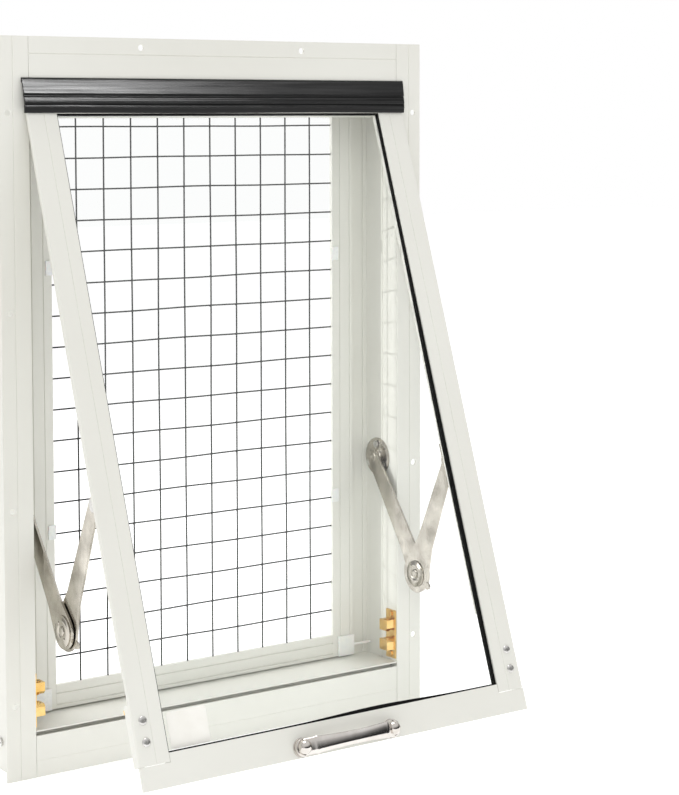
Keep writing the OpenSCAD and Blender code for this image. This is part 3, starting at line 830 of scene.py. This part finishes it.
def sky():
    """A studio that is white to look at, brightest above and in front, with a dark side for shiny metal."""
    world = bpy.data.worlds.new("studio")
    bpy.context.scene.world = world
    world.use_nodes = True
    tree = world.node_tree
    tree.nodes.clear()
    place = tree.nodes.new("ShaderNodeTexCoord")
    parts = tree.nodes.new("ShaderNodeSeparateXYZ")
    tree.links.new(place.outputs["Generated"], parts.inputs["Vector"])
    upper = zone(tree, parts.outputs["Z"], -0.9, 1.0, SKY_BELOW, SKY_ABOVE)
    behind = zone(tree, parts.outputs["Y"], 0.0, 0.9, 1.0, SKY_BEHIND)
    shade = arithmetic(tree, "MULTIPLY", upper, behind)
    ahead = tree.nodes.new("ShaderNodeVectorMath")
    ahead.operation = "DOT_PRODUCT"
    ahead.inputs[1].default_value = DARK_SIDE
    tree.links.new(place.outputs["Generated"], ahead.inputs[0])
    # only directions towards the dark side and near the horizon are dark
    near_middle = zone(tree, ahead.outputs["Value"], 0.1, 0.55, 0.0, 0.95)
    level = zone(tree, arithmetic(tree, "ABSOLUTE", parts.outputs["Z"]), 0.1, 0.6, 1.0, 0.0)
    path = tree.nodes.new("ShaderNodeLightPath")
    dark = arithmetic(tree, "MULTIPLY", near_middle, level)
    dark = arithmetic(tree, "MULTIPLY", dark, path.outputs["Is Glossy Ray"])
    lit = arithmetic(tree, "MULTIPLY", dark, shade)
    strength = arithmetic(tree, "SUBTRACT", shade, lit)
    white = arithmetic(tree, "MAXIMUM", path.outputs["Is Camera Ray"], path.outputs["Is Transmission Ray"])
    strength = arithmetic(tree, "MAXIMUM", strength, white)
    light = tree.nodes.new("ShaderNodeBackground")
    light.inputs["Color"].default_value = (1.0, 1.0, 1.0, 1.0)
    out = tree.nodes.new("ShaderNodeOutputWorld")
    tree.links.new(strength, light.inputs["Strength"])
    tree.links.new(light.outputs["Background"], out.inputs["Surface"])


def lamp(name, place, target, size, power):
    """A square area light that faces a target."""
    data = bpy.data.lights.new(name, "AREA")
    data.size = size
    data.energy = power
    thing = bpy.data.objects.new(name, data)
    bpy.context.scene.collection.objects.link(thing)
    thing.location = place
    thing.rotation_euler = (Vector(target) - Vector(place)).to_track_quat("-Z", "Y").to_euler()
    return thing


def lit_only(light, name, things):
    """Keeps a lamp's light on the things given."""
    lit = bpy.data.collections.new(name)
    for thing in things:
        lit.objects.link(thing)
    light.light_linking.receiver_collection = lit


def right_of_middle(thing):
    """Whether all of a mesh lies on the window's right side."""
    corners = [thing.matrix_world @ Vector(corner) for corner in thing.bound_box]
    return thing.type == "MESH" and min(corner.x for corner in corners) > 0.0


def lights():
    """A soft key, a lamp above and behind, one for the strip alone and one that throws the mesh's shadow."""
    lamps = {name: lamp(name, *setting) for name, setting in LAMPS.items()}
    lamps["key"].visible_glossy = False
    lit_only(lamps["sheen"], "lit_by_sheen", [bpy.data.objects["weather_strip_profile"]])
    right_side = [thing for thing in bpy.context.scene.objects if right_of_middle(thing)]
    lit_only(lamps["back"], "lit_by_back", right_side)


def camera():
    """The photograph's viewing angle."""
    data = bpy.data.cameras.new("camera")
    data.lens = LENS
    data.sensor_width = 36.0
    data.shift_x = SHIFT_X
    data.shift_y = SHIFT_Y
    data.clip_end = 40.0
    thing = bpy.data.objects.new("camera", data)
    bpy.context.scene.collection.objects.link(thing)
    yaw, pitch, roll = (math.radians(a) for a in (CAMERA_YAW, CAMERA_PITCH, CAMERA_ROLL))
    ahead = Vector((math.sin(yaw) * math.cos(pitch), math.cos(yaw) * math.cos(pitch), math.sin(pitch)))
    right = Vector((math.cos(yaw), -math.sin(yaw), 0))
    up = right.cross(ahead)
    turned_right = math.cos(roll) * right + math.sin(roll) * up
    turned_up = math.cos(roll) * up - math.sin(roll) * right
    facing = Matrix((turned_right, turned_up, -ahead)).transposed().to_4x4()
    thing.matrix_world = Matrix.Translation(CAMERA_PLACE) @ facing
    bpy.context.scene.camera = thing


def dress_the_rest(done, sash_place):
    """Rounds the edges of the CAD parts that keep their shape, and gives the others their material."""
    upright = Matrix.Identity(4)
    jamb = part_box("frame_head")[1].x
    low, high = sash_box("sash_left_stile", sash_place)
    joints = {
        "frame_head": (upright, 0, jamb),
        "frame_sill": (upright, 0, jamb),
        "sash_left_stile": (sash_place, 2, -low.z),
        "sash_right_stile": (sash_place, 2, -low.z),
        "sash_bottom_rail": (sash_place, 0, -high.x),
    }
    plain = {"glass_pane", "pivot_pin_left", "pivot_pin_right", "pivot_washers"}
    plain |= {node for node in frame["nodes"] if node.startswith("ball_")}
    for node, thing in frame["nodes"].items():
        if node in done:
            continue
        slot = node_slot(node)
        if node in plain:
            thing.data.materials[0] = node_material(node, slot)
            continue
        softened(node, EDGE_WIDTHS.get(slot, OTHER_EDGE_WIDTH), joints.get(node))


def main():
    sash_place = on_sash()
    wire_guard()
    weather_strip()
    for side, sign in SIDES:
        elbow(side, sign)
        stay_base(side, sign)
        for level in ("upper", "lower"):
            catch_spring(level, side, sign)
    corner_rivets(sash_place)
    pull_handle(sash_place)
    gasket(sash_place)
    label(sash_place)
    done = {node for thing in bpy.context.scene.objects for node in thing.get("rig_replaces", [])}
    dress_the_rest(done, sash_place)
    floor()
    sky()
    lights()
    camera()
    bpy.context.scene.view_settings.view_transform = "Standard"


main()
